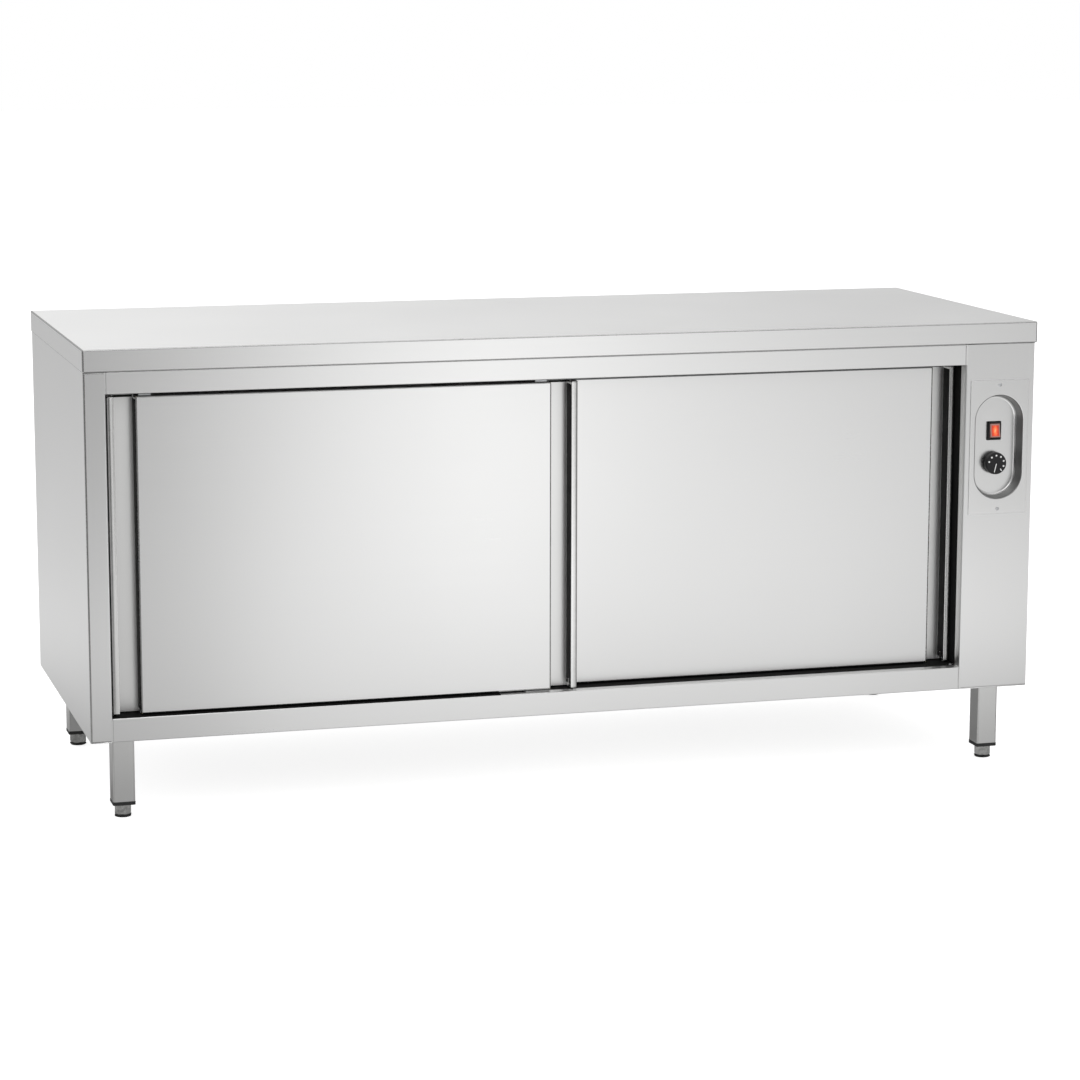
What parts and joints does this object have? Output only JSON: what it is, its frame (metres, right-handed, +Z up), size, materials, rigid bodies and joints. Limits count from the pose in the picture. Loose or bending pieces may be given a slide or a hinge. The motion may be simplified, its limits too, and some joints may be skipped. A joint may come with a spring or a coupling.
{
  "type": "plate warmer cabinet",
  "caption": "Stainless steel heated plate cabinet with sliding doors under a folded worktop, a sunk panel with a lit rocker and a dial at the right, on square legs with screw feet.",
  "frame": {"origin": "on the floor under the middle of the worktop", "axes": "+X right along the front, +Y from the front to the rear, +Z up"},
  "size_m": [1.8, 0.7, 0.85],
  "materials": {
    "stainless": "straight grain, satin",
    "inner_stainless": "satin",
    "zinc_steel": "zinc plated",
    "mineral_wool": "matt, fibrous",
    "nylon": "matt",
    "guide_plastic": "matt",
    "black_plastic": "fine grained",
    "lit_orange": "translucent, lit",
    "black_rubber": "matt",
    "motor_paint": "satin",
    "fan_aluminium": "mill",
    "heater_steel": "heat tinted",
    "white_plastic": "matt"
  },
  "bodies": {
    "cabinet": {"worktop": "stainless", "worktop_stiffeners": "zinc_steel", "left_side_panel": "stainless", "right_side_panel": "stainless", "rear_panel": "stainless", "base_panel": "stainless", "top_rail": "stainless", "bottom_rail": "stainless", "chamber_left_wall": "inner_stainless", "chamber_right_wall": "inner_stainless", "chamber_back_wall": "inner_stainless", "chamber_ceiling": "inner_stainless", "chamber_floor": "inner_stainless", "insulation_boards": "mineral_wool", "middle_shelf": "inner_stainless", "shelf_stiffener": "inner_stainless", "shelf_supports": "inner_stainless", "upper_door_track": "zinc_steel", "lower_door_guide": "guide_plastic", "rail_screws": "stainless", "control_dish": "stainless", "dish_screws": "stainless", "switch_housing": "black_plastic", "thermostat": "white_plastic", "air_duct": "zinc_steel", "heating_element": "heater_steel", "fan_motor": "motor_paint", "terminal_block": "white_plastic", "cable_gland": "black_plastic", "legs": "stainless", "leg_plates": "zinc_steel", "leg_caps": "black_plastic"},
    "left_door": {"left_door_front_skin": "stainless", "left_door_back_skin": "stainless", "left_door_core": "mineral_wool", "left_door_groove_channel": "zinc_steel", "left_door_grip_channels": "stainless", "left_door_hangers": "zinc_steel"},
    "right_door": {"right_door_front_skin": "stainless", "right_door_back_skin": "stainless", "right_door_core": "mineral_wool", "right_door_groove_channel": "zinc_steel", "right_door_grip_channels": "stainless", "right_door_hangers": "zinc_steel"},
    "left_door_left_roller_body": {"left_door_left_roller": "nylon"},
    "left_door_right_roller_body": {"left_door_right_roller": "nylon"},
    "right_door_left_roller_body": {"right_door_left_roller": "nylon"},
    "right_door_right_roller_body": {"right_door_right_roller": "nylon"},
    "fan_wheel": {"fan_impeller": "fan_aluminium"},
    "thermostat_control": {"thermostat_knob": "black_plastic", "thermostat_shaft": "zinc_steel"},
    "rocker": {"switch_rocker": "lit_orange"},
    "front_left_levelling_foot": {"front_left_foot": "zinc_steel", "front_left_foot_pad": "black_rubber"},
    "front_right_levelling_foot": {"front_right_foot": "zinc_steel", "front_right_foot_pad": "black_rubber"},
    "rear_left_levelling_foot": {"rear_left_foot": "zinc_steel", "rear_left_foot_pad": "black_rubber"},
    "rear_right_levelling_foot": {"rear_right_foot": "zinc_steel", "rear_right_foot_pad": "black_rubber"}
  },
  "joints": [
    {"name": "left_door_slide", "type": "slide", "parent": "cabinet", "child": "left_door", "axis": [1, 0, 0], "range_m": [0, 0.752]},
    {"name": "right_door_slide", "type": "slide", "parent": "cabinet", "child": "right_door", "axis": [1, 0, 0], "range_m": [-0.7545, 0]},
    {"name": "left_door_left_roller_spin", "type": "hinge", "parent": "left_door", "child": "left_door_left_roller_body", "pos_m": [-0.7885, -0.3195, 0.7875], "axis": [0, 1, 0], "continuous": true},
    {"name": "left_door_right_roller_spin", "type": "hinge", "parent": "left_door", "child": "left_door_right_roller_body", "pos_m": [-0.0665, -0.3195, 0.7875], "axis": [0, 1, 0], "continuous": true},
    {"name": "right_door_left_roller_spin", "type": "hinge", "parent": "right_door", "child": "right_door_left_roller_body", "pos_m": [-0.034, -0.286, 0.7875], "axis": [0, 1, 0], "continuous": true},
    {"name": "right_door_right_roller_spin", "type": "hinge", "parent": "right_door", "child": "right_door_right_roller_body", "pos_m": [0.688, -0.286, 0.7875], "axis": [0, 1, 0], "continuous": true},
    {"name": "fan_spin", "type": "hinge", "parent": "cabinet", "child": "fan_wheel", "pos_m": [0.8, 0.07, 0.48675], "axis": [1, 0, 0], "continuous": true},
    {"name": "thermostat_turn", "type": "hinge", "parent": "cabinet", "child": "thermostat_control", "pos_m": [0.8265, -0.3247, 0.581], "axis": [0, 1, 0], "range_deg": [0, 270]},
    {"name": "rocker_swing", "type": "hinge", "parent": "cabinet", "child": "rocker", "pos_m": [0.8265, -0.3262, 0.642], "axis": [1, 0, 0], "range_deg": [0, 20]},
    {"name": "front_left_foot_adjust", "type": "slide", "parent": "cabinet", "child": "front_left_levelling_foot", "axis": [0, 0, -1], "range_m": [0, 0.04]},
    {"name": "front_right_foot_adjust", "type": "slide", "parent": "cabinet", "child": "front_right_levelling_foot", "axis": [0, 0, -1], "range_m": [0, 0.04]},
    {"name": "rear_left_foot_adjust", "type": "slide", "parent": "cabinet", "child": "rear_left_levelling_foot", "axis": [0, 0, -1], "range_m": [0, 0.04]},
    {"name": "rear_right_foot_adjust", "type": "slide", "parent": "cabinet", "child": "rear_right_levelling_foot", "axis": [0, 0, -1], "range_m": [0, 0.04]}
  ],
  "couplings": [
    {"joint": "left_door_left_roller_spin", "follows": "left_door_slide", "rad_per_m": 83.333},
    {"joint": "left_door_right_roller_spin", "follows": "left_door_slide", "rad_per_m": 83.333},
    {"joint": "right_door_left_roller_spin", "follows": "right_door_slide", "rad_per_m": 83.333},
    {"joint": "right_door_right_roller_spin", "follows": "right_door_slide", "rad_per_m": 83.333}
  ]
}
